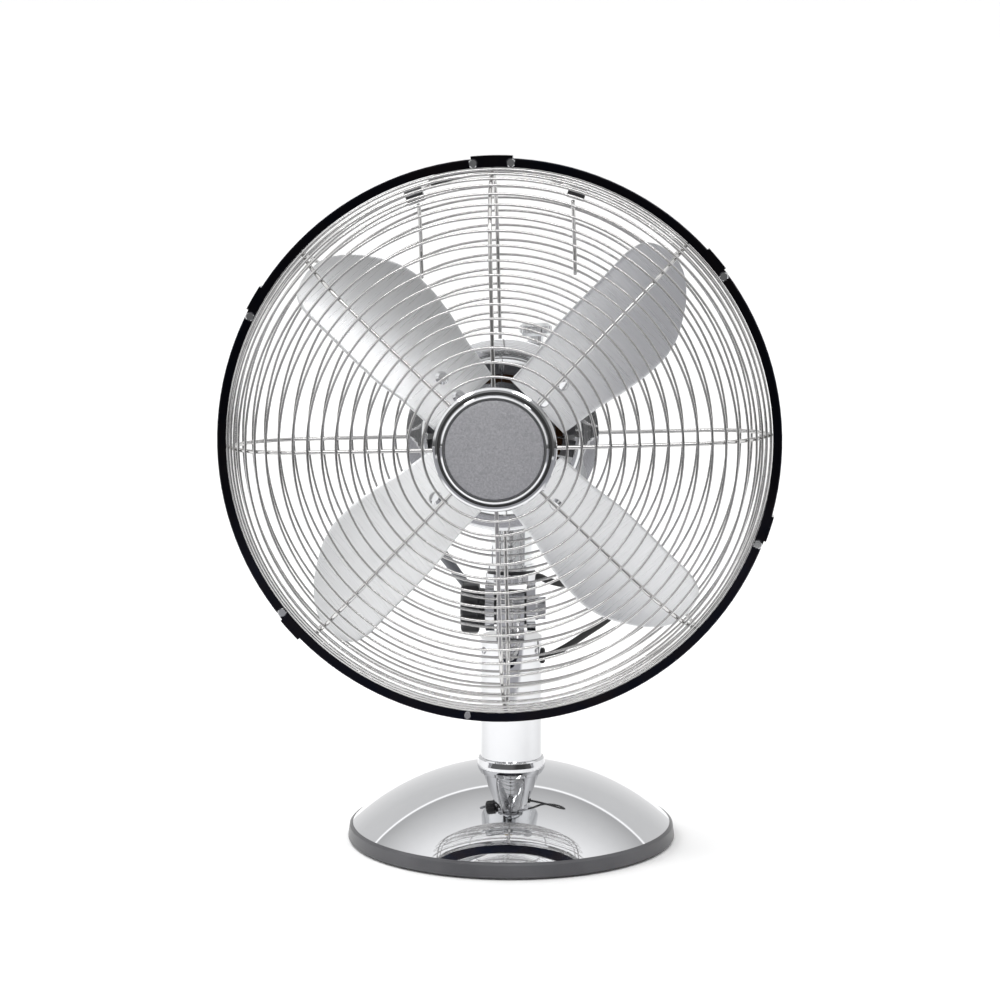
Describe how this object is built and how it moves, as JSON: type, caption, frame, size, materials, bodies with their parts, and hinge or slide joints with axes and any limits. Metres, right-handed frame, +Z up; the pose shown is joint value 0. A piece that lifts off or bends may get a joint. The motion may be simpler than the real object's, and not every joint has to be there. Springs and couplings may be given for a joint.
{
  "type": "desk fan",
  "caption": "Tilting, oscillating desk fan with metal blades in a round wire guard, on a tube column and a domed round base.",
  "frame": {"origin": "the point on the table under the column axis, in the plane of the rubber foot ring", "axes": "+Z up along the column; the fan blows towards -Y; +X is to the right of someone facing the fan's front"},
  "size_m": [0.338, 0.258, 0.4353],
  "materials": {
    "chrome": "bright mirror chrome plate",
    "chrome_wire": "chrome-plated round steel wire",
    "black_chrome": "dark chrome plate, near black in the studio",
    "blade_aluminium": "brushed sheet aluminium, grain across the blade",
    "badge_satin": "fine satin-blasted aluminium disc, left blank",
    "plain_steel": "bright zinc-plated and turned steel",
    "ring_plastic": "dark grey moulded plastic with a light sheen",
    "black_plastic": "black moulded plastic with a fine texture",
    "grey_plastic": "mid grey moulded plastic",
    "nylon": "natural nylon",
    "black_rubber": "soft black rubber and cable sheath",
    "cast_iron": "painted cast iron",
    "core_steel": "stacked core laminations",
    "winding": "enamelled copper wire",
    "brass": "turned brass"
  },
  "bodies": {
    "stand": {"base_ring": "ring_plastic", "foot_ring": "black_rubber", "base_plate": "plain_steel", "base_weight": "cast_iron", "base_dome": "chrome", "centre_rod": "brass", "column_collar": "chrome", "column_tube": "chrome", "column_head": "chrome", "switch_body": "black_plastic", "cord_gland": "black_rubber", "stand_screws": "plain_steel", "rod_fittings": "plain_steel", "motor_lead": "black_rubber", "lead_grommets": "black_rubber"},
    "speed_switch": {"speed_knob": "black_plastic"},
    "yoke": {"tilt_yoke": "chrome", "tilt_bolt": "plain_steel", "pivot_post": "plain_steel", "neck_washers": "black_plastic", "neck_fasteners": "plain_steel"},
    "tilt_lock": {"tilt_knob": "black_plastic", "knob_lever": "grey_plastic"},
    "head": {"motor_cradle": "chrome", "front_shell": "chrome", "rear_cover": "chrome", "stator_core": "core_steel", "stator_windings": "winding", "motor_bushes": "brass", "gear_case": "grey_plastic", "front_guard_spokes": "chrome_wire", "front_guard_rings": "chrome_wire", "rear_guard_spokes": "chrome_wire", "rear_guard_rings": "chrome_wire", "badge_plate": "plain_steel", "badge_cup": "chrome", "badge_disc": "badge_satin", "head_screws": "plain_steel", "rim_band": "black_chrome", "clip_studs": "chrome", "top_bracket": "black_chrome", "handle_sleeves": "black_plastic", "carry_handle": "chrome_wire", "handle_grip": "black_plastic"},
    "rotor": {"motor_shaft": "plain_steel", "rotor_core": "core_steel", "worm": "brass", "blade_1": "blade_aluminium", "blade_2": "blade_aluminium", "blade_3": "blade_aluminium", "blade_4": "blade_aluminium", "blade_arms": "plain_steel", "blade_hub": "plain_steel", "rotor_fasteners": "chrome"},
    "gear_wheel": {"worm_wheel": "nylon"},
    "swing_knob": {"oscillation_knob": "chrome"},
    "clip_1": {"rim_clip_1": "black_chrome"},
    "clip_2": {"rim_clip_2": "black_chrome"},
    "clip_3": {"rim_clip_3": "black_chrome"},
    "clip_4": {"rim_clip_4": "black_chrome"}
  },
  "joints": [
    {"name": "speed_turn", "type": "hinge", "parent": "stand", "child": "speed_switch", "pos_m": [0, 0.06107, 0.03447], "axis": [0, -0.4082, -0.9129], "range_deg": [0, 120]},
    {"name": "tilt", "type": "hinge", "parent": "stand", "child": "yoke", "pos_m": [0, 0, 0.146], "axis": [-1, 0, 0], "range_deg": [-16, 18], "deforming": ["motor_lead"]},
    {"name": "tilt_lock_turn", "type": "hinge", "parent": "yoke", "child": "tilt_lock", "pos_m": [-0.024, 0, 0.146], "axis": [-1, 0, 0], "range_deg": [0, 60]},
    {"name": "oscillation", "type": "hinge", "parent": "yoke", "child": "head", "pos_m": [0, 0.00314, 0.17584], "axis": [0, 0.1045, 0.9945], "range_deg": [-40, 40]},
    {"name": "blade_spin", "type": "hinge", "parent": "head", "child": "rotor", "pos_m": [-0.004, 0.01155, 0.25589], "axis": [0, 0.9945, -0.1045], "continuous": true},
    {"name": "gear_turn", "type": "hinge", "parent": "head", "child": "gear_wheel", "pos_m": [0.0134, 0.03542, 0.25339], "axis": [0, 0.1045, 0.9945], "continuous": true},
    {"name": "swing_push", "type": "slide", "parent": "head", "child": "swing_knob", "axis": [0, -0.1045, -0.9945], "range_m": [0, 0.0025]},
    {"name": "clip_1_open", "type": "hinge", "parent": "head", "child": "clip_1", "pos_m": [0.12934, -0.06259, 0.36362], "axis": [0, 0.9945, -0.1045], "range_deg": [0, 80]},
    {"name": "clip_2_open", "type": "hinge", "parent": "head", "child": "clip_2", "pos_m": [-0.15309, -0.06528, 0.33806], "axis": [0, -0.9945, 0.1045], "range_deg": [0, 80]},
    {"name": "clip_3_open", "type": "hinge", "parent": "head", "child": "clip_3", "pos_m": [-0.13379, -0.08385, 0.16137], "axis": [0, 0.9945, -0.1045], "range_deg": [0, 80]},
    {"name": "clip_4_open", "type": "hinge", "parent": "head", "child": "clip_4", "pos_m": [0.15094, -0.0793, 0.2047], "axis": [0, 0.9945, -0.1045], "range_deg": [0, 80]}
  ],
  "couplings": [
    {"joint": "gear_turn", "follows": "blade_spin", "ratio": 0.027778}
  ]
}
